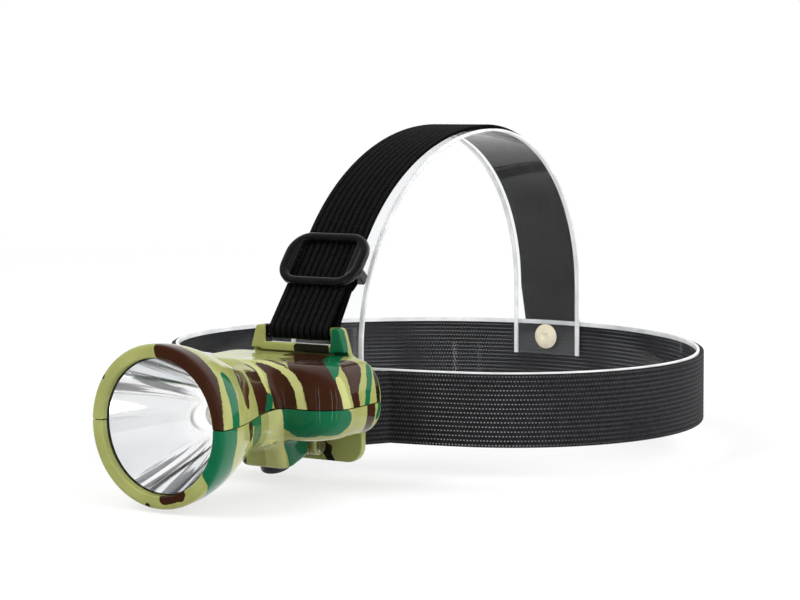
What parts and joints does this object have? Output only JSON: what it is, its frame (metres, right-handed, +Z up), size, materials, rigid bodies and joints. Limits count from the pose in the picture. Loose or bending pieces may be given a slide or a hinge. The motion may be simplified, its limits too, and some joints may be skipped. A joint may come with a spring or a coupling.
{
  "type": "cap lamp",
  "caption": "Bell-fronted head torch with a cross housing and side-to-side cell, tilting on a plate of an elastic head harness that stands on a clear bent-strip former.",
  "frame": {"origin": "middle of the head opening, in the plane of the headband's lower edge", "axes": "lamp points along -Y, +Z is up through the overhead strap, +X is to the right seen from the lamp's front"},
  "size_m": [0.2086, 0.2638, 0.1171],
  "materials": {
    "clear_plastic": "clear gloss",
    "rivet_plastic": "ivory",
    "webbing": "woven elastic",
    "camo_plastic": "gloss with woodland camouflage",
    "black_plastic": "gloss",
    "steel": "brushed",
    "nickel": "bright",
    "seal_rubber": "matte",
    "lens_plastic": "clear gloss",
    "reflector_mirror": "vacuum metallised",
    "emitter": "clear dome",
    "board_aluminium": "satin",
    "sink_aluminium": "satin",
    "circuit_green": "solder mask",
    "cell_sleeve": "shrink sleeve over the can"
  },
  "bodies": {
    "harness": {"former_band": "clear_plastic", "former_arch": "clear_plastic", "former_rivets": "rivet_plastic", "headband": "webbing", "overhead_strap": "webbing", "strap_return": "webbing", "back_plate": "camo_plastic", "hinge_pin": "steel"},
    "lamp": {"upper_shell": "camo_plastic", "lower_shell": "camo_plastic", "shell_screws": "steel", "lens_seal": "seal_rubber", "front_lens": "lens_plastic", "reflector": "reflector_mirror", "led_emitter": "emitter", "led_board": "board_aluminium", "heat_sink": "sink_aluminium", "driver_board": "circuit_green", "battery_cell": "cell_sleeve", "positive_contact": "nickel", "negative_contact": "nickel", "charge_socket": "black_plastic", "switch_body": "black_plastic"},
    "button": {"switch_button": "black_plastic"},
    "slider": {"strap_slider": "black_plastic", "strap_end_loop": "webbing"}
  },
  "joints": [
    {"name": "lamp_tilt", "type": "hinge", "parent": "harness", "child": "lamp", "pos_m": [0, -0.1016, 0.0002], "axis": [1, 0, 0], "range_deg": [0, 80]},
    {"name": "switch_press", "type": "slide", "parent": "lamp", "child": "button", "axis": [0, -0.2924, 0.9563], "range_m": [0, 0.0015], "stiffness_N_per_m": 1500, "springref_m": -0.0004},
    {"name": "slider_slide", "type": "slide", "parent": "harness", "child": "slider", "axis": [0, -0.6391, -0.7691], "range_m": [0, 0.01], "deforming": ["strap_return"]}
  ]
}
